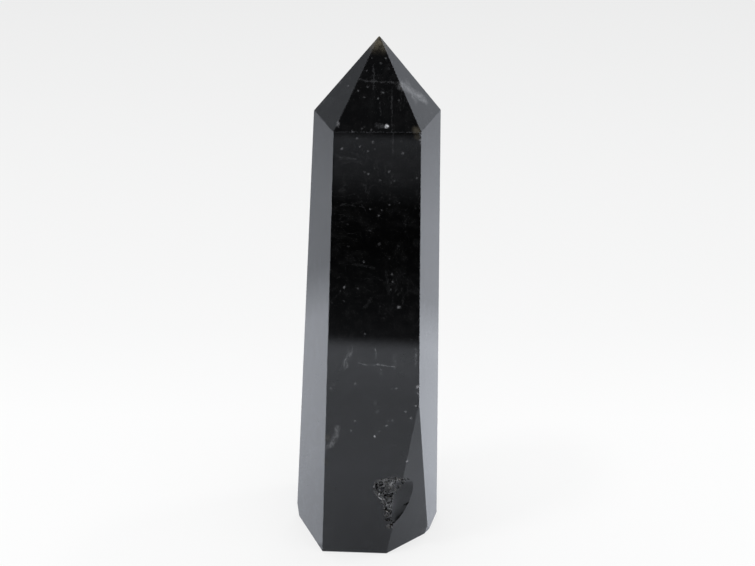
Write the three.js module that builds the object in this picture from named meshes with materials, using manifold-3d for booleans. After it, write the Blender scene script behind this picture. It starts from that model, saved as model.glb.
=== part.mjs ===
// A cut and polished point of morion, the near-black smoky quartz: a tapered six-sided column that stands on
// a flat sawn base and ends in a six-sided point. Low on its front right edge a seventh, three-cornered facet
// was ground, and beside it a natural pit was left: rough broken crystal faces that run out into a smooth
// hollow. Millimetres and degrees. The origin is the middle of the base, +Z runs up to the tip and -Y is the
// front.
import * as THREE from "three";
import { ConvexGeometry } from "three/addons/geometries/ConvexGeometry.js";
import { mergeVertices } from "three/addons/utils/BufferGeometryUtils.js";
import Module from "manifold-3d";

const HEIGHT = 100; // from the base to the tip
const TIP = { x: 0.55, y: 0 }; // where the tip stands over the base

// The column's six facets, in order round it. facing is the way a facet looks, reach is how far its foot
// lies from the axis, lean is how far it leans in towards the top, and shoulder is the height at which its
// edge with the next facet ends and the point begins.
const COLUMN = [
  { facing: -156.3, reach: 13.2, lean: 1.85, shoulder: 86.35 }, // left
  { facing: -92.7, reach: 13.1, lean: 1.95, shoulder: 86.75 }, // front
  { facing: -18.3, reach: 13.55, lean: 2.0, shoulder: 86.2 }, // right
  { facing: 34, reach: 11.7, lean: 0.75, shoulder: 86.7 }, // back right
  { facing: 91, reach: 12.4, lean: 1.9, shoulder: 86.6 }, // back
  { facing: 147, reach: 11.7, lean: 2.55, shoulder: 87.1 }, // back left
];
const FRONT = COLUMN[1];

// Facets ground over the column's edges. With a negative lean they cut deeper towards the base: the big
// seventh facet, and two nicks where a corner of the base was taken off.
const EDGE_FACETS = [
  { facing: -51.4, reach: 12.68, lean: -4.2 },
  { facing: -34, reach: 13.4, lean: -9 },
  { facing: -175, reach: 13.75, lean: -7.5 },
];
const GRINDER = 80; // side of the block of space that a ground facet clears away

// The pit's rough part, from its top row down: x of its left and right rims on the front facet at height z,
// the radius of the angular lumps of stone that broke out there, and how deep they reach in the middle of
// the row.
const ROUGH_ROWS = [
  { z: 17.1, left: 3.4, right: 6.0, size: 0.75, depth: 0.4 },
  { z: 16.3, left: 2.4, right: 6.1, size: 0.85, depth: 0.9 },
  { z: 15.3, left: 1.5, right: 5.8, size: 0.9, depth: 1.3 },
  { z: 14.3, left: 1.7, right: 5.4, size: 0.9, depth: 1.4 },
  { z: 13.2, left: 2.5, right: 5.1, size: 0.85, depth: 1.2 },
  { z: 12.1, left: 3.0, right: 4.9, size: 0.75, depth: 0.9 },
  { z: 11.1, left: 3.3, right: 4.7, size: 0.7, depth: 0.7 },
  { z: 10.2, left: 3.4, right: 4.6, size: 0.65, depth: 0.6 },
  { z: 9.3, left: 3.6, right: 4.5, size: 0.6, depth: 0.5 },
  { z: 8.4, left: 3.7, right: 4.4, size: 0.55, depth: 0.4 },
  { z: 6.7, left: 4.1, right: 4.4, size: 0.5, depth: 0.25 },
];
const LUMP_SPACING = 0.95; // between the lumps of a row, in lump radii
const LAYER_SPACING = 0.7; // between one lump and the next behind it, in lump radii
const LUMP_STRETCH = 0.45; // share by which a lump's sides differ from its radius

// The pit's smooth part: one hollow over the edge of the front and the seventh facet, drawn tight round two
// bowls. across, deep and along are a bowl's radii, facing is the way it opens, and its top leans right by
// tilt.
const SCOOP_BOWLS = [
  { centre: [7.0, -13.2, 12.0], across: 2.8, deep: 2.35, along: 5.6, facing: -68, tilt: 25 },
  { centre: [6.4, -13.6, 14.7], across: 2.7, deep: 2.7, along: 2.9, facing: -74, tilt: 20 },
];
const BOWL_SEGMENTS = [32, 20];

// Small chips on edges and corners.
const CHIPS = [
  { at: [8.85, -12.5, 37.6], size: 0.45 }, // front right edge, over the seventh facet
  { at: [7.55, -10.9, 86.5], size: 0.75 }, // front right shoulder
  { at: [4.35, -13.6, 5.9], size: 0.55 }, // below the pit
];

const MORION = { color: 0x0d0b0a, roughness: 0.08, metalness: 0 };

const wasm = await Module();
wasm.setup();

function toSolid(geometry) {
  const bare = geometry.clone();
  bare.deleteAttribute("normal");
  bare.deleteAttribute("uv");
  const merged = mergeVertices(bare, 1e-4);
  return new wasm.Manifold(
    new wasm.Mesh({
      numProp: 3,
      vertProperties: merged.attributes.position.array,
      triVerts: new Uint32Array(merged.index.array),
    }),
  );
}

function toGeometry(solid) {
  const mesh = solid.getMesh();
  const geometry = new THREE.BufferGeometry();
  geometry.setAttribute("position", new THREE.BufferAttribute(mesh.vertProperties, 3));
  geometry.setIndex(new THREE.BufferAttribute(mesh.triVerts, 1));
  const flat = geometry.toNonIndexed();
  flat.computeVertexNormals();
  return flat;
}

// A repeatable value from 0 to 1 for each pair of whole numbers.
function chance(a, b) {
  const wave = Math.sin(a * 127.1 + b * 311.7) * 43758.5453;
  return wave - Math.floor(wave);
}

function outward(facet) {
  const facing = THREE.MathUtils.degToRad(facet.facing);
  return new THREE.Vector2(Math.cos(facing), Math.sin(facing));
}

// How far the facet lies from the axis at height z.
function reachAt(facet, z) {
  return facet.reach - z * Math.tan(THREE.MathUtils.degToRad(facet.lean));
}

// The point at height z on the edge between two facets of the column.
function edgePoint(facet, next, z) {
  const a = outward(facet);
  const b = outward(next);
  const cross = a.cross(b);
  const x = (reachAt(facet, z) * b.y - reachAt(next, z) * a.y) / cross;
  const y = (reachAt(next, z) * a.x - reachAt(facet, z) * b.x) / cross;
  return new THREE.Vector3(x, y, z);
}

// The point on the front facet at x and z.
function onFront(x, z) {
  const n = outward(FRONT);
  return new THREE.Vector3(x, (reachAt(FRONT, z) - x * n.x) / n.y, z);
}

function column() {
  const corners = [new THREE.Vector3(TIP.x, TIP.y, HEIGHT)];
  COLUMN.forEach((facet, i) => {
    const next = COLUMN[(i + 1) % COLUMN.length];
    corners.push(edgePoint(facet, next, 0));
    corners.push(edgePoint(facet, next, facet.shoulder));
  });
  return toSolid(new ConvexGeometry(corners));
}

// Everything that lies outside a facet's plane.
function outside(facet) {
  const foot = outward(facet).multiplyScalar(facet.reach);
  const block = new THREE.BoxGeometry(GRINDER, GRINDER, GRINDER * 3);
  block.translate(GRINDER / 2, 0, 0);
  block.rotateY(-THREE.MathUtils.degToRad(facet.lean));
  block.rotateZ(THREE.MathUtils.degToRad(facet.facing));
  block.translate(foot.x, foot.y, 0);
  return toSolid(block);
}

// An angular lump of broken stone with a radius of about size: an uneven octahedron, turned at random.
function lump(size, seed) {
  const rock = new THREE.OctahedronGeometry(size);
  const sides = [1, 2, 3].map((side) => 1 + LUMP_STRETCH * (chance(seed, side) - 0.5));
  rock.scale(...sides);
  rock.rotateX(chance(seed, 4) * Math.PI * 2);
  rock.rotateY(chance(seed, 5) * Math.PI * 2);
  rock.rotateZ(chance(seed, 6) * Math.PI * 2);
  return rock;
}

function roughPart() {
  const lumps = [];
  ROUGH_ROWS.forEach((row, i) => {
    const steps = Math.max(1, Math.round((row.right - row.left) / (row.size * LUMP_SPACING)));
    for (let j = 0; j <= steps; j++) {
      const share = j / steps; // 0 at the left rim, 1 at the right
      const middle = onFront(THREE.MathUtils.lerp(row.left, row.right, share), row.z);
      const deepest = row.depth * Math.sin(Math.PI * share);
      for (let sunk = 0, layer = 0; sunk <= deepest; sunk += row.size * LAYER_SPACING, layer++) {
        const seed = i * 100 + j * 10 + layer;
        const rock = lump(row.size, seed);
        rock.translate(middle.x, middle.y + sunk, middle.z + (chance(seed, 7) - 0.5) * row.size);
        lumps.push(toSolid(rock));
      }
    }
  });
  return lumps.reduce((joined, next) => joined.add(next));
}

function scoop() {
  const rims = SCOOP_BOWLS.flatMap((bowl) => {
    const ball = new THREE.SphereGeometry(1, ...BOWL_SEGMENTS);
    ball.scale(bowl.deep, bowl.across, bowl.along);
    ball.rotateX(-THREE.MathUtils.degToRad(bowl.tilt));
    ball.rotateZ(THREE.MathUtils.degToRad(bowl.facing));
    ball.translate(...bowl.centre);
    const places = mergeVertices(ball, 1e-4).attributes.position;
    return Array.from({ length: places.count }, (_, i) => new THREE.Vector3().fromBufferAttribute(places, i));
  });
  return toSolid(new ConvexGeometry(rims));
}

function chips() {
  const made = CHIPS.map((chip, i) => {
    const rock = lump(chip.size, i + 301);
    rock.translate(...chip.at);
    return toSolid(rock);
  });
  return made.reduce((joined, next) => joined.add(next));
}

// The stone without the loose crumbs that a cut between two lumps can leave.
function withoutCrumbs(solid) {
  return solid.decompose().reduce((kept, other) => (other.volume() > kept.volume() ? other : kept));
}

function crystal() {
  const cuts = [...EDGE_FACETS.map(outside), roughPart(), scoop(), chips()];
  const stone = cuts.reduce((left, cut) => left.subtract(cut), column());
  const finish = new THREE.MeshStandardMaterial({ ...MORION, flatShading: true });
  const mesh = new THREE.Mesh(toGeometry(withoutCrumbs(stone)), finish);
  mesh.name = "crystal";
  return mesh;
}

const part = new THREE.Group();
part.add(crystal());

export default part;
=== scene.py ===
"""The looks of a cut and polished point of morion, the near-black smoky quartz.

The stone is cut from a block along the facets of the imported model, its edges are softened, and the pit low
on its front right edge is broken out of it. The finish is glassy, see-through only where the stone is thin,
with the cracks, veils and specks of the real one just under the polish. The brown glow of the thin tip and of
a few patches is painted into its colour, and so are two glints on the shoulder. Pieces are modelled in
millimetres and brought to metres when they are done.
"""

import math
import random

import bmesh
import bpy
from mathutils import Matrix, Vector


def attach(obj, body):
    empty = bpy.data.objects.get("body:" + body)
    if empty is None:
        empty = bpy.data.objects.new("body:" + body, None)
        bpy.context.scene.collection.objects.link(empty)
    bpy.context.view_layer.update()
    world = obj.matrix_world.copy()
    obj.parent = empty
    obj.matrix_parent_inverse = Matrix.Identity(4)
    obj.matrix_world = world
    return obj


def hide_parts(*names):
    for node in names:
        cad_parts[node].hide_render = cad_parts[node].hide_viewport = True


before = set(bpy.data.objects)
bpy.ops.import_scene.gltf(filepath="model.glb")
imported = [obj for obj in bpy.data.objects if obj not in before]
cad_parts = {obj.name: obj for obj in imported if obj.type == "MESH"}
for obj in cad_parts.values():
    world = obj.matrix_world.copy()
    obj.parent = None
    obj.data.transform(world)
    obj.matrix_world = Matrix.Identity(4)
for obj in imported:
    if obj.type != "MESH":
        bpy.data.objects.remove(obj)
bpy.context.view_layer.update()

MM = 0.001

# The stone.
SAME_POINT = 1e-4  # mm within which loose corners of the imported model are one
FLAT = math.radians(0.1)  # triangles that bend less than this are one flat face
FACET_INSET = 0.01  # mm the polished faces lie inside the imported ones, so that only the pit comes from those
SMALLEST_FACET = 1  # mm2
SAME_WAY = 0.99999  # cosine above which two faces look the same way
BLOCK = 400  # mm side of the block that the stone is cut from
EDGE_SOFTENING = 0.09  # mm width of the softened edges
SHORTEST_SOFTENED = 0.5  # mm length of the shortest edge that is softened
FOOT_CHAMFER = 0.22  # mm width of the chamfer round the base
SOFTENING_STEPS = 2
SAME_CORNER = 0.05  # mm within which the corners of three and more facets are one
SOUND_CUT = 0.99  # least share of the stone that a sound cut leaves
BROKEN = 1  # material index of the broken faces while the stone is cut
CREASE = math.radians(24)  # a sharper bend than this in the pit is an edge between two broken faces
PIT_DEPTH = 0.05  # mm behind the facets at which a face belongs to the pit
CRUMB = 1e-3  # mm within which the corners left by the cuts are one

# The small breaks on the pit's rough faces.
BREAKS_PER_FACE = 2
FACE_SCATTER = 0.7  # how far from a face's middle towards its corners they lie
BREAK_RADIUS = (0.16, 0.42)  # mm
BREAK_STRETCH = (0.6, 1.4)
BREAK_ROUNDS = 12  # they are broken out in rounds, so that no two of a round touch
BREAK_SEED = 7
CHIPS = [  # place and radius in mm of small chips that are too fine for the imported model
    ((1.87, -9.75, 87.3), 0.3),
    ((8.55, -12.3, 33.6), 0.3),
]
RIM_PLACES = [  # mm, where the rough part runs over the top of the smooth hollow
    (4.4, -11.7, 16.2),
    (5.1, -12.1, 16.8),
    (5.9, -11.4, 16.0),
    (6.5, -11.2, 15.6),
    (4.8, -11.5, 15.2),
    (5.5, -11.2, 14.8),
    (6.2, -11.0, 14.8),
    (5.2, -11.3, 13.8),
    (5.0, -11.5, 13.0),
    (7.2, -11.6, 16.4),
]
RIM_BREAKS = 4  # at each of these places
RIM_SCATTER = 0.55  # mm
FROST_SEED = 3
FROST_RISE = 3  # the higher, the fewer of the broken faces are frosted enough to look pale


def mesh_of(work, name, kinds=()):
    """An object that holds the finished bmesh, with a material for each kind of face."""
    mesh = bpy.data.meshes.new(name)
    work.to_mesh(mesh)
    work.free()
    for kind in kinds:
        mesh.materials.append(kind)
    piece = bpy.data.objects.new(name, mesh)
    bpy.context.scene.collection.objects.link(piece)
    return piece


def packed_stone():
    """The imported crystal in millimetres, with its loose triangles merged and its flat faces whole."""
    work = bmesh.new()
    work.from_mesh(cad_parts["crystal"].data)
    bmesh.ops.scale(work, vec=(1 / MM,) * 3, verts=work.verts)
    bmesh.ops.remove_doubles(work, verts=work.verts, dist=SAME_POINT)
    bmesh.ops.dissolve_limit(work, angle_limit=FLAT, verts=work.verts, edges=work.edges)
    return work


def facets(work):
    """The stone's polished faces, each as a point and the way it looks: those with the whole stone behind."""
    corners = [corner.co.copy() for corner in work.verts]
    found = []
    for face in work.faces:
        point, out = face.calc_center_median(), face.normal.copy()
        small = face.calc_area() < SMALLEST_FACET
        sunk = any((corner - point).dot(out) > FACET_INSET for corner in corners)
        known = any(out.dot(other) > SAME_WAY for _, other in found)
        if not (small or sunk or known):
            found.append((point, out))
    return found


def cut_block(planes):
    """A block cut down to the facets, with softened edges."""
    work = bmesh.new()
    bmesh.ops.create_cube(work, size=BLOCK)
    for point, out in planes:
        everything = work.verts[:] + work.edges[:] + work.faces[:]
        cut = bmesh.ops.bisect_plane(
            work, geom=everything, plane_co=point - FACET_INSET * out, plane_no=out, clear_outer=True
        )
        rim = [part for part in cut["geom_cut"] if isinstance(part, bmesh.types.BMEdge)]
        bmesh.ops.edgeloop_fill(work, edges=rim)
    bmesh.ops.remove_doubles(work, verts=work.verts, dist=SAME_CORNER)
    bmesh.ops.recalc_face_normals(work, faces=work.faces)
    foot = [edge for edge in work.edges if all(corner.co.z < 2 * FACET_INSET for corner in edge.verts)]
    soften(work, foot, FOOT_CHAMFER)
    long = [edge for edge in work.edges if edge.calc_length() > SHORTEST_SOFTENED]
    soften(work, [edge for edge in long if edge.calc_face_angle(0) > CREASE], EDGE_SOFTENING)
    return work


def soften(work, edges, width):
    """Rounds the edges off."""
    bmesh.ops.bevel(
        work,
        geom=edges,
        offset=width,
        segments=SOFTENING_STEPS,
        profile=0.5,
        affect="EDGES",
        clamp_overlap=True,
        material=-1,
    )


def volume(mesh):
    work = bmesh.new()
    work.from_mesh(mesh)
    size = work.calc_volume()
    work.free()
    return size


def combine(piece, other, operation):
    """Cuts piece with other, which is used up. The faces that other leaves on it keep their kind. A cut so
    intricate that it fails, which shows in the volume, is left out."""
    cut = piece.modifiers.new("cut", "BOOLEAN")
    cut.operation = operation
    cut.object = other
    cut.solver = "EXACT"
    cut.material_mode = "TRANSFER"
    ready = piece.evaluated_get(bpy.context.evaluated_depsgraph_get())
    mesh = bpy.data.meshes.new_from_object(ready)
    piece.modifiers.clear()
    if volume(mesh) > SOUND_CUT * volume(piece.data):
        piece.data = mesh
    bpy.data.objects.remove(other)


def rough_faces(work, planes):
    """The broken faces in the pit: flat ones, creased on two sides or more, that lie behind the facets."""
    for face in work.faces:
        middle = face.calc_center_median()
        depth = min((point - middle).dot(out) for point, out in planes)
        creased = sum(edge.calc_face_angle(0) > CREASE for edge in face.edges)
        if depth > PIT_DEPTH and creased >= 2:
            yield face, middle


def break_places(work, planes, chance):
    """Where small pieces broke out of the pit's rough faces and its rim."""
    for face, middle in rough_faces(work, planes):
        for _ in range(BREAKS_PER_FACE):
            yield middle.lerp(chance.choice(face.verts).co, chance.uniform(0, FACE_SCATTER))
    for middle in RIM_PLACES:
        for _ in range(RIM_BREAKS):
            yield Vector(middle) + Vector([chance.uniform(-RIM_SCATTER, RIM_SCATTER) for _ in range(3)])


def small_breaks(work, planes):
    """Places and radii of the small breaks, in rounds in which no two touch."""
    chance = random.Random(BREAK_SEED)
    rounds = [[(Vector(place), radius) for place, radius in CHIPS]] + [[] for _ in range(BREAK_ROUNDS - 1)]
    for place in break_places(work, planes, chance):
        radius = chance.uniform(*BREAK_RADIUS)
        for taken in rounds:
            if all((place - other).length > BREAK_STRETCH[1] * (radius + reach) for other, reach in taken):
                taken.append((place, radius))
                break
    return rounds


def angular_shapes(places, seed):
    """Uneven octahedra, each turned at random, at the places and with the radii given."""
    chance = random.Random(seed)
    work = bmesh.new()
    for place, radius in places:
        turn = Matrix.Rotation(chance.uniform(0, math.tau), 4, Vector((1, 0, 0)))
        turn @= Matrix.Rotation(chance.uniform(0, math.tau), 4, Vector((0, 1, 0)))
        stretch = Matrix.Diagonal((1, chance.uniform(*BREAK_STRETCH), chance.uniform(*BREAK_STRETCH), 1))
        at = Matrix.Translation(place) @ turn @ stretch
        bmesh.ops.create_uvsphere(work, u_segments=4, v_segments=2, radius=radius, matrix=at)
    return work


def largest_body(work):
    """Leaves only the largest connected body of the mesh."""
    left = set(work.faces)
    bodies = []
    while left:
        body, reach = set(), [left.pop()]
        while reach:
            face = reach.pop()
            body.add(face)
            near = {other for edge in face.edges for other in edge.link_faces} & left
            left -= near
            reach.extend(near)
        bodies.append(body)
    bodies.sort(key=len)
    crumbs = [face for body in bodies[:-1] for face in body]
    bmesh.ops.delete(work, geom=crumbs, context="FACES")


def stone():
    """The whole crystal, in one closed mesh. Its attribute frost says how pale each broken face is."""
    packed = packed_stone()
    planes = facets(packed)
    for face, _ in rough_faces(packed, planes):
        face.material_index = BROKEN
    breaks = small_breaks(packed, planes)
    kinds = [bpy.data.materials.new(name) for name in ("smooth", "broken")]
    piece = mesh_of(cut_block(planes), "morion_point", kinds)
    combine(piece, mesh_of(packed, "packed", kinds), "INTERSECT")
    for seed, places in enumerate(breaks):
        shapes = angular_shapes(places, seed)
        for face in shapes.faces:
            face.material_index = BROKEN
        combine(piece, mesh_of(shapes, "breaks", kinds), "DIFFERENCE")
    frost = finish_faces(piece)
    mark = piece.data.attributes.new("frost", "FLOAT", "FACE")
    mark.data.foreach_set("value", frost)
    piece.data.transform(Matrix.Scale(MM, 4))
    piece.data.materials.clear()
    for kind in kinds:
        bpy.data.materials.remove(kind)
    return piece


def finish_faces(piece):
    """Cleans the cut stone, shades its faces and returns how frosted each one is."""
    work = bmesh.new()
    work.from_mesh(piece.data)
    bmesh.ops.remove_doubles(work, verts=work.verts, dist=CRUMB)
    bmesh.ops.dissolve_degenerate(work, edges=work.edges, dist=CRUMB)
    largest_body(work)
    chance = random.Random(FROST_SEED)
    frost = []
    for face in work.faces:
        broken = face.material_index == BROKEN
        frost.append(chance.random() ** FROST_RISE if broken else 0.0)
        face.smooth = not broken and face.calc_area() < SMALLEST_FACET
        face.material_index = 0
    for edge in work.edges:
        edge.smooth = edge.calc_face_angle(0) < CREASE and all(face.smooth for face in edge.link_faces)
    work.to_mesh(piece.data)
    work.free()
    return frost


# The camera stands a hand's reach in front of the stone and looks a little down on it.
CAMERA_FOCUS = Vector((1.15, 0, 52.65)) * MM
CAMERA_DISTANCE = 252 * MM
CAMERA_DOWN = math.radians(27.8)
CAMERA_RIGHT = math.radians(1.65)
CAMERA_ROLL = math.radians(1.25)
FOCAL_PIXELS = 1360
IMAGE_WIDTH = 755
SENSOR_WIDTH = 36


def camera():
    along = Vector(
        (
            math.sin(CAMERA_RIGHT) * math.cos(CAMERA_DOWN),
            math.cos(CAMERA_RIGHT) * math.cos(CAMERA_DOWN),
            -math.sin(CAMERA_DOWN),
        )
    )
    level = along.cross(Vector((0, 0, 1))).normalized()
    up = level.cross(along)
    right = math.cos(CAMERA_ROLL) * level + math.sin(CAMERA_ROLL) * up
    top = math.cos(CAMERA_ROLL) * up - math.sin(CAMERA_ROLL) * level
    lens = bpy.data.cameras.new("camera")
    lens.sensor_width = SENSOR_WIDTH
    lens.lens = FOCAL_PIXELS * SENSOR_WIDTH / IMAGE_WIDTH
    lens.clip_start = 10 * MM
    body = bpy.data.objects.new("camera", lens)
    body.matrix_world = Matrix((right, top, -along)).transposed().to_4x4()
    body.location = CAMERA_FOCUS - CAMERA_DISTANCE * along
    bpy.context.scene.collection.objects.link(body)
    bpy.context.scene.camera = body


class Nodes:
    """Short ways to add nodes to one tree. Wherever a value is expected, a socket may stand too."""

    def __init__(self, tree):
        self.tree = tree

    def add(self, kind, **settings):
        node = self.tree.nodes.new(kind)
        for name, value in settings.items():
            setattr(node, name, value)
        return node

    def put(self, socket, value):
        if isinstance(value, bpy.types.NodeSocket):
            self.tree.links.new(value, socket)
        else:
            socket.default_value = value

    def math(self, operation, *values, clamp=False):
        node = self.add("ShaderNodeMath", operation=operation, use_clamp=clamp)
        for socket, value in zip(node.inputs, values):
            self.put(socket, value)
        return node.outputs[0]

    def vector(self, operation, *values):
        node = self.add("ShaderNodeVectorMath", operation=operation)
        for socket, value in zip(node.inputs, values):
            self.put(socket, value)
        return node.outputs["Value" if operation in ("LENGTH", "DISTANCE", "DOT_PRODUCT") else "Vector"]

    def ramp(self, value, low, high, to_low=0.0, to_high=1.0, smooth=True):
        """value brought from the range low to high to the other range, and held at its ends."""
        node = self.add("ShaderNodeMapRange", interpolation_type="SMOOTHSTEP" if smooth else "LINEAR")
        for name, number in (("From Min", low), ("From Max", high), ("To Min", to_low), ("To Max", to_high)):
            self.put(node.inputs[name], number)
        self.put(node.inputs["Value"], value)
        return node.outputs["Result"]

    def stops(self, value, points):
        """A smooth line through points, given as (value, result) pairs in rising order."""
        low, high = points[0][0], points[-1][0]
        node = self.add("ShaderNodeValToRGB")
        elements = node.color_ramp.elements
        while len(elements) < len(points):
            elements.new(0.5)
        for element, (place, result) in zip(elements, points):
            element.position = (place - low) / (high - low)
            element.color = (result, result, result, 1)
        self.put(node.inputs["Fac"], self.ramp(value, low, high, smooth=False))
        return node.outputs["Color"]

    def noise(self, place, scale, detail=3.0, roughness=0.55, distortion=0.0):
        node = self.add("ShaderNodeTexNoise")
        self.put(node.inputs["Vector"], place)
        node.inputs["Scale"].default_value = scale
        node.inputs["Detail"].default_value = detail
        node.inputs["Roughness"].default_value = roughness
        node.inputs["Distortion"].default_value = distortion
        return node.outputs["Fac"]

    def mix(self, share, low, high):
        node = self.add("ShaderNodeMix", data_type="RGBA")
        self.put(node.inputs["Factor"], share)
        self.put(node.inputs["A"], low)
        self.put(node.inputs["B"], high)
        return node.outputs["Result"]

    def millimetres(self):
        """The place on the piece, in millimetres."""
        place = self.add("ShaderNodeTexCoord").outputs["Object"]
        return self.vector("MULTIPLY", place, (1 / MM,) * 3)


# The finish of the stone.
PALE = (0.62, 0.63, 0.66, 1)  # healed cracks, veils, specks and frosted faces, and two painted glints on the shoulder
OLIVE = (0.38, 0.335, 0.245, 1)  # painted glow: the colour of thin stone with light behind it
QUARTZ_IOR = 1.544
ABSORPTION_COLOUR = (0.5, 0.42, 0.15, 1)
ABSORPTION_PER_METRE = 1000
PAINTED_TIP_GLOW = (96.9, 100.3, 0.34)  # painted glow: mm height where the tip begins to glow, where it glows most, and how much
TIP_PATCHES = (0.38, 0.6, 0.45, 1.0)  # noise levels between which the glow comes up, and its share at both
TIP_PATCHES_SCALE = 1.2  # per mm
FROSTED = 0.36  # how much light the most frosted faces send back
POLISH = (0.012, 0.035)  # roughness of the facets, least and most
FROST_ROUGHNESS = 0.3
WANDER = 0.6  # mm by which cracks and wisps leave their straight stretches
WANDER_SCALE = 0.9  # per mm
GRAIN = 0.5  # mm by which the outlines of specks are uneven
GRAIN_SCALE = 2.6  # per mm
FLAW_CORE = 0.15  # share of a flaw's width within which it is at its full strength
CRACKS_FADE = (0.36, 0.6, 0.12, 1.15)  # noise levels between which a crack comes up, and its share at both
CRACKS_FADE_SCALE = 1.6  # per mm
SMEARS = (0.35, 0.7)  # noise levels between which the polish goes from its best to its worst
SMEARS_SCALE = 0.3  # per mm
DULL_FROM = 0.08  # frost from which a face is as rough as FROST_ROUGHNESS
TINT_STEP = 0.01  # how much stronger the painted brown glow than the pale is where only the glow shows

# Faint flaws all through the stone: their strength on the front, where the main ones are placed singly, and
# on the rest of the stone.
BEHIND_FRONT = (-11.0, -8.0)  # mm along y between which they change from one to the other
WISPS = (0.015, 0.07)
WISPS_SCALE = 0.22  # per mm
WISP_WIDTH = 0.012  # as a step of the noise
WISP_AREAS = (0.5, 0.62)  # levels of a wider noise between which the wisps fade in
WISP_AREAS_SCALE = 0.13  # per mm
WISPS_IN_POINT = (84, 88, 1.0, 0.2)  # mm height between which the wisps fade, and their share at both
FINE_SPECKS = (0.032, 0.13)
SPECK_CELLS = 0.7  # cells per mm, with one fine speck in each
SPECK_RADIUS = 0.19  # in cells
SPECK_CORE = 0.05  # in cells, within which a speck is at its full strength
FEW_BRIGHT = 3.0  # the higher, the fewer of them are bright
HAZE = 0.009
HAZE_LEVELS = (0.42, 0.78)  # noise levels between which the haze comes in
HAZE_SCALE = 0.5  # per mm

# Cracks, wisps and veils just under the polish, in mm: the points they run through, half their width and how
# much light they send back. The short pale streak on the edge of the left shoulder is a painted glint.
CRACKS_AND_GLINT = [
    ([(-2.8, -4.5, 93.7), (-0.9, -4.7, 93.5), (2.5, -5.0, 93.5), (4.1, -5.4, 93.3)], 0.26, 0.045),
    ([(4.6, -4.9, 92.8), (5.7, -3.9, 91.8), (7.0, -2.9, 90.6), (8.5, -1.4, 89.2)], 1.5, 0.22),
    ([(5.6, -2.9, 92.3), (6.6, -4.6, 90.4)], 1.2, 0.14),
    ([(4.0, -5.5, 93.2), (4.6, -5.4, 92.8)], 0.35, 0.2),
    ([(-0.4, -3.2, 95.7), (-0.4, -5.6, 92.5)], 0.24, 0.035),
    ([(0.6, -7.0, 90.6), (0.9, -8.4, 88.9)], 0.2, 0.02),
    # painted glint: this pale streak stands in for light caught along the edge of the left shoulder
    ([(-6.3, -8.5, 88.2), (-6.2, -9.2, 87.0)], 0.36, 0.2),
    ([(0.1, -9.6, 87.5), (1.3, -9.6, 87.3)], 0.6, 0.035),
    ([(2.7, -6.0, 92.3), (2.8, -10.3, 86.6), (3.0, -10.4, 83.4)], 0.22, 0.03),
    ([(7.4, -10.6, 86.4), (7.5, -10.7, 84.8)], 0.25, 0.3),
    ([(-6.5, -10.0, 82.1), (-3.2, -10.2, 81.5)], 0.3, 0.035),
    ([(-3.6, -10.8, 62.0), (-0.9, -11.0, 61.8), (0.2, -11.0, 61.3)], 0.4, 0.013),
    ([(2.2, -11.1, 60.7), (2.6, -11.2, 58.8), (2.9, -11.3, 56.4)], 0.4, 0.012),
    ([(-1.4, -11.1, 53.6), (-0.6, -11.2, 54.6), (-0.3, -11.2, 55.4)], 0.4, 0.018),
    ([(-4.8, -11.5, 41.1), (-4.8, -11.4, 42.6), (-4.4, -11.4, 43.6), (-3.4, -11.4, 44.6)], 0.26, 0.12),
    ([(-4.4, -11.5, 41.3), (-4.3, -11.5, 42.8), (-3.7, -11.5, 43.9)], 0.2, 0.1),
    ([(-3.9, -11.4, 43.9), (-3.5, -11.4, 44.8), (-3.5, -11.4, 46.0)], 0.2, 0.1),
    ([(-3.7, -11.4, 44.4), (-2.6, -11.4, 45.2)], 0.2, 0.08),
    ([(-4.3, -11.4, 44.4), (-4.2, -11.4, 45.6)], 0.2, 0.05),
    ([(-4.7, -11.5, 41.4), (-4.5, -11.4, 43.0), (-3.7, -11.4, 44.6)], 0.8, 0.045),
    ([(-2.4, -11.6, 42.5), (-0.9, -11.6, 41.9), (1.4, -11.8, 42.2)], 0.2, 0.1),
    ([(1.4, -11.8, 42.2), (2.3, -11.8, 41.9), (4.1, -11.9, 41.8)], 0.2, 0.14),
    ([(0.9, -11.8, 42.1), (1.9, -11.8, 42.0)], 0.26, 0.14),
    ([(1.3, -11.8, 41.5), (2.0, -11.9, 40.9)], 0.16, 0.12),
    ([(1.3, -11.8, 40.9), (2.1, -11.9, 40.3)], 0.16, 0.12),
    ([(1.5, -11.8, 40.4), (2.2, -11.9, 39.9)], 0.16, 0.08),
    ([(0.8, -11.6, 45.2), (0.8, -11.7, 43.2)], 0.22, 0.08),
    ([(4.2, -11.8, 44.0), (4.4, -11.9, 41.5)], 0.5, 0.035),
    ([(8.0, -12.0, 45.6), (8.1, -12.1, 42.0)], 0.3, 0.09),
    ([(0.9, -12.3, 26.8), (1.9, -12.3, 28.1)], 0.18, 0.06),
    ([(-6.1, -11.9, 28.6), (-6.4, -11.9, 26.4), (-7.2, -11.9, 24.6), (-8.0, -11.9, 24.1)], 0.75, 0.11),
    ([(5.9, -12.4, 24.5), (6.0, -12.5, 19.5)], 0.3, 0.03),
    ([(-9.0, -12.5, 5.4), (-5.6, -12.7, 5.6)], 0.2, 0.03),
]
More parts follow.
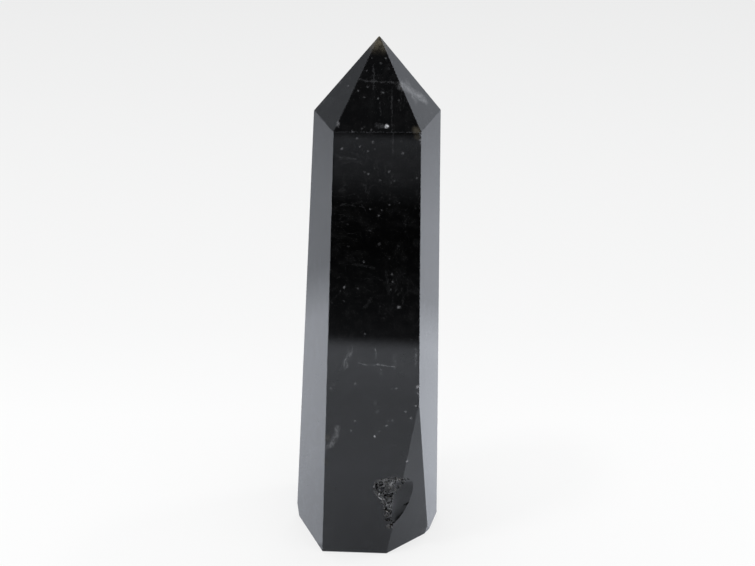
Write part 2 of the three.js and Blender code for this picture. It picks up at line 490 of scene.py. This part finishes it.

# Single specks, in mm: place, radius and how much light they send back. The near-white one on the shoulder's
# chip is a painted glint.
SPECKS_AND_GLINT = [
    ((1.7, -2.5, 96.8), 0.3, 0.12),
    ((0.8, -3.0, 96.1), 0.28, 0.07),
    ((-0.7, -2.4, 96.8), 0.25, 0.05),
    ((-1.4, -5.4, 92.7), 0.28, 0.07),
    ((1.2, -6.1, 92.0), 0.3, 0.1),
    ((-1.9, -6.4, 91.3), 0.25, 0.08),
    ((0.4, -6.7, 91.2), 0.28, 0.12),
    ((-4.7, -3.8, 92.3), 0.3, 0.15),
    ((-3.9, -9.9, 86.5), 0.3, 0.08),
    ((-2.3, -9.7, 86.9), 0.3, 0.06),
    ((-0.7, -9.9, 86.8), 0.25, 0.06),
    # painted glint: this near-white speck stands in for the chip on the shoulder catching the light
    ((1.87, -9.55, 87.3), 0.5, 0.95),
    ((-3.1, -10.1, 85.3), 0.3, 0.09),
    ((2.9, -10.4, 85.0), 0.3, 0.05),
    ((4.3, -10.4, 85.0), 0.3, 0.05),
    ((-0.5, -10.2, 84.7), 0.3, 0.1),
    ((-2.6, -10.1, 83.9), 0.28, 0.09),
    ((-0.1, -10.3, 83.5), 0.3, 0.05),
    ((-5.6, -10.0, 83.4), 0.3, 0.12),
    ((-1.2, -10.2, 83.1), 0.26, 0.07),
    ((3.0, -10.4, 83.1), 0.26, 0.05),
    ((4.6, -10.5, 82.9), 0.34, 0.1),
    ((2.4, -10.5, 79.5), 0.38, 0.1),
    ((-1.7, -10.3, 79.3), 0.3, 0.05),
    ((-1.1, -10.4, 79.0), 0.3, 0.13),
    ((7.1, -10.8, 78.5), 0.3, 0.07),
    ((0.9, -10.5, 77.9), 0.28, 0.06),
    ((3.3, -10.6, 77.9), 0.3, 0.06),
    ((2.6, -10.7, 73.5), 0.26, 0.08),
    ((-0.7, -10.6, 72.6), 0.26, 0.07),
    ((1.3, -10.7, 72.4), 0.24, 0.06),
    ((0.8, -10.7, 71.4), 0.3, 0.12),
    ((-0.6, -10.8, 68.5), 0.26, 0.06),
    ((1.0, -10.9, 66.0), 0.4, 0.04),
    ((-1.6, -10.9, 62.5), 0.3, 0.08),
    ((3.3, -11.2, 60.3), 0.32, 0.08),
    ((3.5, -11.3, 58.8), 0.28, 0.08),
    ((-5.0, -10.9, 57.5), 0.34, 0.16),
    ((-2.6, -11.0, 57.3), 0.26, 0.06),
    ((3.2, -11.3, 57.3), 0.26, 0.06),
    ((-5.0, -11.0, 54.8), 0.28, 0.05),
    ((4.7, -11.5, 53.9), 0.42, 0.18),
    ((-1.2, -11.4, 48.3), 0.32, 0.08),
    ((-2.8, -11.7, 38.0), 0.4, 0.1),
    ((-6.7, -11.5, 37.6), 0.28, 0.06),
    ((4.6, -12.1, 37.2), 0.32, 0.11),
    ((3.9, -12.0, 37.1), 0.26, 0.07),
    ((-7.3, -11.5, 36.8), 0.34, 0.09),
    ((0.9, -12.0, 34.0), 0.6, 0.04),
    ((-4.5, -11.8, 33.0), 0.32, 0.05),
    ((6.5, -12.3, 32.4), 0.3, 0.12),
    ((1.3, -12.1, 32.2), 0.5, 0.05),
    ((7.5, -12.4, 31.0), 0.32, 0.16),
    ((4.1, -12.3, 30.4), 0.3, 0.09),
    ((3.4, -12.3, 30.3), 0.34, 0.09),
    ((-2.8, -12.0, 30.0), 0.36, 0.14),
    ((3.1, -12.3, 29.2), 0.4, 0.2),
    ((-3.5, -12.0, 27.9), 0.36, 0.11),
    ((0.9, -12.3, 26.8), 0.32, 0.5),
    ((8.65, -12.2, 37.7), 0.5, 0.3),
    ((8.6, -12.3, 36.4), 0.3, 0.2),
    ((8.35, -12.4, 33.7), 0.35, 0.25),
    ((4.7, -12.5, 24.9), 0.32, 0.06),
    ((7.1, -12.6, 21.5), 0.4, 0.35),
    ((1.1, -12.6, 16.6), 0.34, 0.06),
]

# Patches of painted brown glow, in place of light that comes up from inside: place, radius and strength.
PAINTED_GLOW_PATCHES = [
    ((6.8, -10.3, 87.0), 1.0, 0.12),
    ((6.9, -10.5, 85.8), 0.8, 0.06),
    ((-8.0, -11.9, 26.2), 1.1, 0.05),
    ((-8.3, -12.0, 20.6), 1.0, 0.03),
]


def flaw_group(name, ends):
    """A node group that gives 1 on a streak between two places, or on one place, down to 0 at its width."""
    tree = bpy.data.node_groups.new(name, "ShaderNodeTree")
    for socket in ["Place", *ends]:
        tree.interface.new_socket(socket, in_out="INPUT", socket_type="NodeSocketVector")
    tree.interface.new_socket("Width", in_out="INPUT", socket_type="NodeSocketFloat")
    tree.interface.new_socket("Amount", in_out="OUTPUT", socket_type="NodeSocketFloat")
    nodes = Nodes(tree)
    given = nodes.add("NodeGroupInput").outputs
    nearest = given[ends[0]]
    if len(ends) == 2:
        along = nodes.vector("SUBTRACT", given[ends[1]], nearest)
        away = nodes.vector("SUBTRACT", given["Place"], nearest)
        reach = nodes.vector("DOT_PRODUCT", away, along)
        length = nodes.vector("DOT_PRODUCT", along, along)
        share = nodes.math("DIVIDE", reach, length, clamp=True)
        part = nodes.add("ShaderNodeVectorMath", operation="SCALE")
        nodes.put(part.inputs[0], along)
        nodes.put(part.inputs["Scale"], share)
        nearest = nodes.vector("ADD", nearest, part.outputs[0])
    gap = nodes.vector("DISTANCE", given["Place"], nearest)
    amount = nodes.ramp(nodes.math("DIVIDE", gap, given["Width"]), 1.0, FLAW_CORE)
    nodes.put(nodes.add("NodeGroupOutput").inputs["Amount"], amount)
    return tree


def flaw(nodes, group, place, ends, width, strength):
    node = nodes.add("ShaderNodeGroup", node_tree=group)
    nodes.put(node.inputs["Place"], place)
    for socket, end in zip(list(node.inputs)[1:], ends):
        nodes.put(socket, end)
    nodes.put(node.inputs["Width"], width)
    return nodes.math("MULTIPLY", node.outputs["Amount"], strength)


def strongest(nodes, amounts):
    most = amounts[0]
    for amount in amounts[1:]:
        most = nodes.math("MAXIMUM", most, amount)
    return most


def scattered_specks(nodes, place, y):
    """Fine specks at random, all through the stone."""
    cells = nodes.add("ShaderNodeTexVoronoi", feature="F1")
    nodes.put(cells.inputs["Vector"], place)
    cells.inputs["Scale"].default_value = SPECK_CELLS
    parts = nodes.add("ShaderNodeSeparateColor")
    nodes.put(parts.inputs[0], cells.outputs["Color"])
    strength = nodes.math("POWER", parts.outputs[0], FEW_BRIGHT)
    strength = nodes.math("MULTIPLY", strength, nodes.ramp(y, *BEHIND_FRONT, *FINE_SPECKS))
    return nodes.math("MULTIPLY", nodes.ramp(cells.outputs["Distance"], SPECK_RADIUS, SPECK_CORE), strength)


def faint_wisps(nodes, place, y, z):
    """Thin crooked wisps where two levels of a noise meet, in some parts of the stone only."""
    level = nodes.noise(place, WISPS_SCALE, detail=4.0, roughness=0.6, distortion=0.8)
    edge = nodes.ramp(nodes.math("ABSOLUTE", nodes.math("SUBTRACT", level, 0.5)), WISP_WIDTH, 0.0)
    where = nodes.ramp(nodes.noise(place, WISP_AREAS_SCALE, detail=1.0), *WISP_AREAS)
    strength = nodes.math("MULTIPLY", nodes.ramp(y, *BEHIND_FRONT, *WISPS), nodes.ramp(z, *WISPS_IN_POINT))
    return nodes.math("MULTIPLY", nodes.math("MULTIPLY", edge, where), strength)


def painted_tip_glow(nodes, place, z):
    """Painted brown glow, in patches, in place of light coming through the thin tip."""
    low, high, most = PAINTED_TIP_GLOW
    patchy = nodes.ramp(nodes.noise(place, TIP_PATCHES_SCALE, detail=2.0), *TIP_PATCHES)
    return nodes.math("MULTIPLY", nodes.ramp(z, low, high, 0.0, most), patchy)


def haze(nodes, place):
    """A faint cloudiness, thicker in places."""
    return nodes.ramp(nodes.noise(place, HAZE_SCALE, detail=6.0, roughness=0.72), *HAZE_LEVELS, 0.0, HAZE)


def morion():
    """Polished morion: clear smoky glass that swallows light within a few millimetres. Its brown glow at the
    tip and in a few patches, and two glints on the shoulder, are painted into its colour.
    """
    material = bpy.data.materials.new("morion")
    material.use_nodes = True
    tree = material.node_tree
    nodes = Nodes(tree)
    shader = tree.nodes["Principled BSDF"]
    place = nodes.millimetres()
    parts = nodes.add("ShaderNodeSeparateXYZ")
    nodes.put(parts.inputs[0], place)
    y, z = parts.outputs["Y"], parts.outputs["Z"]

    drift = nodes.add("ShaderNodeTexNoise")
    nodes.put(drift.inputs["Vector"], place)
    drift.inputs["Scale"].default_value = WANDER_SCALE
    drift = nodes.vector("SUBTRACT", drift.outputs["Color"], (0.5, 0.5, 0.5))
    grain = nodes.add("ShaderNodeTexNoise")
    nodes.put(grain.inputs["Vector"], place)
    grain.inputs["Scale"].default_value = GRAIN_SCALE
    grain = nodes.vector("SUBTRACT", grain.outputs["Color"], (0.5, 0.5, 0.5))
    ragged = nodes.vector("ADD", place, nodes.vector("MULTIPLY", grain, (GRAIN, GRAIN, GRAIN)))
    crooked = nodes.vector("ADD", ragged, nodes.vector("MULTIPLY", drift, (WANDER, WANDER, WANDER)))
    streak = flaw_group("streak", ["From", "To"])
    dot = flaw_group("dot", ["At"])
    # the cracks include a painted glint on the left shoulder
    cracks = strongest(
        nodes,
        [
            flaw(nodes, streak, crooked, ends, width, strength)
            for points, width, strength in CRACKS_AND_GLINT
            for ends in zip(points, points[1:])
        ],
    )
    uneven = nodes.ramp(nodes.noise(place, CRACKS_FADE_SCALE, detail=5.0, roughness=0.8), *CRACKS_FADE)
    cracks = nodes.math("MULTIPLY", cracks, uneven)
    # the specks include a painted glint on the shoulder's chip
    specks = [flaw(nodes, dot, ragged, [at], radius, strength) for at, radius, strength in SPECKS_AND_GLINT]
    # painted brown glow in patches, in place of light that comes up from inside
    patches = [flaw(nodes, dot, crooked, [at], radius, strength) for at, radius, strength in PAINTED_GLOW_PATCHES]
    # brown: the painted glow, at the tip and in patches
    brown = strongest(nodes, [*patches, painted_tip_glow(nodes, place, z)])
    frost = nodes.add("ShaderNodeAttribute", attribute_name="frost").outputs["Fac"]
    frost = nodes.math("MULTIPLY", frost, FROSTED)
    faint = [scattered_specks(nodes, place, y), faint_wisps(nodes, place, y, z), haze(nodes, place)]
    # pale: the real flaws and frost, with the two painted glints
    pale = strongest(nodes, [cracks, *specks, frost, *faint])

    shader.inputs["IOR"].default_value = QUARTZ_IOR
    # olive where the painted glow outweighs the pale
    browner = nodes.ramp(nodes.math("SUBTRACT", brown, pale), -TINT_STEP, TINT_STEP)
    tint = nodes.mix(browner, PALE, OLIVE)
    nodes.put(shader.inputs["Base Color"], tint)
    solid = nodes.math("MAXIMUM", pale, brown)
    nodes.put(shader.inputs["Transmission Weight"], nodes.math("SUBTRACT", 1.0, solid))
    smears = nodes.ramp(nodes.noise(place, SMEARS_SCALE, detail=5.0, roughness=0.65), *SMEARS, *POLISH)
    dull = nodes.ramp(frost, 0.0, DULL_FROM, 0.0, FROST_ROUGHNESS)
    nodes.put(shader.inputs["Roughness"], nodes.math("MAXIMUM", smears, dull))
    fog = nodes.add("ShaderNodeVolumeAbsorption")
    fog.inputs["Color"].default_value = ABSORPTION_COLOUR
    fog.inputs["Density"].default_value = ABSORPTION_PER_METRE
    tree.links.new(fog.outputs["Volume"], tree.nodes["Material Output"].inputs["Volume"])
    return material


# The pale studio floor.
FLOOR_SIZE = 6  # m
FLOOR_GAP = 0.02  # mm the floor lies below the stone
FLOOR_PAINT = (0.9, 0.905, 0.905)
FLOOR_GLOW = 0.962  # brightness of the floor that no shade reaches
FLOOR_LIT = 0.28  # share of the floor's brightness that comes from the room's light
FLOOR_DIMS = [(35, 1.0), (75, 0.955), (110, 0.935), (250, 0.89), (450, 0.845)]  # by mm towards the back

# How bright the floor is where the facets mirror it, by mm along y: lit from LIT_FRONT to LIT_BACK, and dark
# in front of that.
LIT_FRONT = -104.8
LIT_BACK = 66
MIRRORED_ALONG_Y = [
    (-320, 0.15),
    (-300, 0.05),
    (-282, 0.06),
    (-273, 0.35),
    (-235, 0.21),
    (-222, 0.13),
    (-205, 0.035),
    (-170, 0.02),
    (-118, 0.075),
    (LIT_FRONT - 3, 0.12),
    (LIT_FRONT + 3, 0.95),
    (-95, 1.02),
    (-75, 0.83),
    (-48, 0.84),
    (-30, 0.92),
    (-15, 1.05),
    (-6, 1.05),
    (3, 1.14),
    (12, 1.27),
    (30, 1.35),
    (LIT_BACK - 10, 1.39),
    (LIT_BACK + 10, 0.88),
    (120, 0.86),
    (150, 0.76),
    (190, 0.64),
]
FALL_TO_RIGHT = 0.0022  # share of the brightness lost for each millimetre to the right
FALL_LIMITS = (0.7, 1.25)  # least and most that this leaves
FALL_ENDS = (LIT_BACK - 25, LIT_BACK + 10)  # mm along y between which it comes to an end
LIGHT_AT_RIGHT = (8, 35, 0.0, 0.65)  # mm along x between which the dark floor lightens, and how light at both
FOOT_SHADE_Y = -13  # mm, the middle of the shade in front of the foot
FOOT_SHADE_REACH = (26, 32)  # mm along x and y
FOOT_SHADE_TONE = 0.55
FOOT_SHADE_BACK = (-9.5, -6)  # mm along y where that shade fades out beside the foot
FOOT_SHADE_LEFT = (-2, 0.5)  # mm that y is more than x where it fades out at the left
COOL = (0.955, 1.0, 1.09)  # tint of what the stone mirrors


def mirrored_only(nodes):
    """1 for the rays that a facet mirrors and 0 for those that have been through the stone and all others."""
    ray = nodes.add("ShaderNodeLightPath").outputs
    return nodes.math("SUBTRACT", ray["Is Glossy Ray"], ray["Is Transmission Ray"], clamp=True)


def mirrored_floor(nodes, place, x, y):
    slope = nodes.ramp(y, *FALL_ENDS, -FALL_TO_RIGHT, 0.0)
    slant = nodes.ramp(nodes.math("MULTIPLY_ADD", x, slope, 1.0), *FALL_LIMITS, *FALL_LIMITS, smooth=False)
    level = nodes.math("MULTIPLY", nodes.stops(y, MIRRORED_ALONG_Y), slant)
    level = nodes.math("MAXIMUM", level, nodes.ramp(x, *LIGHT_AT_RIGHT))
    across, deep = FOOT_SHADE_REACH
    from_foot = nodes.vector("SUBTRACT", place, (0, FOOT_SHADE_Y, 0))
    nearness = nodes.vector("MULTIPLY", from_foot, (1 / across, 1 / deep, 0))
    shade = nodes.ramp(nodes.vector("LENGTH", nearness), 0, 1, FOOT_SHADE_TONE, 1.0, smooth=False)
    shade = nodes.math("MAXIMUM", shade, nodes.ramp(y, *FOOT_SHADE_BACK))
    shade = nodes.math("MAXIMUM", shade, nodes.ramp(nodes.math("SUBTRACT", y, x), *FOOT_SHADE_LEFT))
    return nodes.vector("MULTIPLY", nodes.math("MULTIPLY", level, shade), COOL)


def floor():
    """A wide pale floor. In the stone's facets it shows lit round the stone and dim further off."""
    work = bmesh.new()
    bmesh.ops.create_grid(work, x_segments=1, y_segments=1, size=FLOOR_SIZE / 2)
    bmesh.ops.translate(work, vec=(0, 0, -FLOOR_GAP * MM), verts=work.verts)
    piece = mesh_of(work, "floor")
    material = bpy.data.materials.new("floor")
    material.use_nodes = True
    tree = material.node_tree
    tree.nodes.clear()
    nodes = Nodes(tree)
    place = nodes.millimetres()
    parts = nodes.add("ShaderNodeSeparateXYZ")
    nodes.put(parts.inputs[0], place)
    x, y = parts.outputs["X"], parts.outputs["Y"]
    depth = nodes.stops(y, FLOOR_DIMS)
    paint = nodes.add("ShaderNodeBsdfDiffuse")
    nodes.put(paint.inputs["Color"], nodes.vector("MULTIPLY", depth, FLOOR_PAINT))
    own = nodes.add("ShaderNodeEmission")
    nodes.put(own.inputs["Strength"], nodes.math("MULTIPLY", depth, FLOOR_GLOW))
    seen = nodes.add("ShaderNodeMixShader")
    nodes.put(seen.inputs["Fac"], FLOOR_LIT)
    nodes.put(seen.inputs[1], own.outputs[0])
    nodes.put(seen.inputs[2], paint.outputs[0])
    mirrored = nodes.add("ShaderNodeEmission")
    nodes.put(mirrored.inputs["Color"], mirrored_floor(nodes, place, x, y))
    both = nodes.add("ShaderNodeMixShader")
    nodes.put(both.inputs["Fac"], mirrored_only(nodes))
    nodes.put(both.inputs[1], seen.outputs[0])
    nodes.put(both.inputs[2], mirrored.outputs[0])
    output = nodes.add("ShaderNodeOutputMaterial")
    nodes.put(output.inputs["Surface"], both.outputs[0])
    piece.data.materials.append(material)


ROOM_LIGHT = (0.97, 0.97, 0.97, 1)  # the light from all round
BACKDROP = (0.8, 0.81, 0.82, 1)
ROOM_ALONG_Z = [(-0.1, 0.8), (0.12, 0.74), (0.37, 0.46), (0.7, 0.3), (1.0, 0.25)]  # in the facets, by height
ROOM_IN_FRONT = 0.3  # share of that left straight in front, where the room is dark
ROOM_FRONT_FOOT = (0.2, 0.45, 0.8, 0.0)  # heights between which the dark begins, and what is left below it
ROOM_FRONT = (-0.96, -0.7)  # how far to the front a way points where the room is darkest, and lit again


def room():
    """Soft light from all round. In the facets the room is pale low down, dim overhead and dark in front."""
    world = bpy.data.worlds.new("room")
    bpy.context.scene.world = world
    world.use_nodes = True
    tree = world.node_tree
    tree.nodes.clear()
    nodes = Nodes(tree)
    way = nodes.add("ShaderNodeTexCoord").outputs["Generated"]
    parts = nodes.add("ShaderNodeSeparateXYZ")
    nodes.put(parts.inputs[0], way)
    level_way = nodes.vector("NORMALIZE", nodes.vector("MULTIPLY", way, (1, 1, 0)))
    front = nodes.ramp(nodes.vector("DOT_PRODUCT", level_way, (0, 1, 0)), *ROOM_FRONT, ROOM_IN_FRONT, 1.0)
    front = nodes.math("MAXIMUM", front, nodes.ramp(parts.outputs["Z"], *ROOM_FRONT_FOOT))
    level = nodes.math("MULTIPLY", nodes.stops(parts.outputs["Z"], ROOM_ALONG_Z), front)
    light = nodes.mix(nodes.add("ShaderNodeLightPath").outputs["Is Diffuse Ray"], BACKDROP, ROOM_LIGHT)
    light = nodes.mix(mirrored_only(nodes), light, nodes.vector("MULTIPLY", level, COOL))
    background = nodes.add("ShaderNodeBackground")
    nodes.put(background.inputs["Color"], light)
    output = nodes.add("ShaderNodeOutputWorld")
    nodes.put(output.inputs["Surface"], background.outputs[0])


LAMPS = {
    # place in metres, side of the lamp in metres, watts, whether the facets mirror it
    "window": ((-0.55, 0.3, 0.9), 0.6, 0.6, False),
    "spark_left": ((-0.35, -0.15, 0.85), 0.1, 1.0, True),
    "spark_right": ((0.4, 0.1, 0.8), 0.08, 0.6, True),
}


def lamps():
    for name, (place, side, watts, mirrored) in LAMPS.items():
        lamp = bpy.data.lights.new(name, "AREA")
        lamp.size = side
        lamp.energy = watts
        holder = bpy.data.objects.new(name, lamp)
        holder.location = place
        holder.rotation_euler = (-Vector(place)).to_track_quat("-Z", "Y").to_euler()
        holder.visible_camera = False
        holder.visible_glossy = mirrored
        bpy.context.scene.collection.objects.link(holder)


camera()
room()
lamps()
floor()

crystal = stone()
crystal.data.materials.append(morion())
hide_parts("crystal")
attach(crystal, "root")

bpy.context.scene.view_settings.view_transform = "Standard"
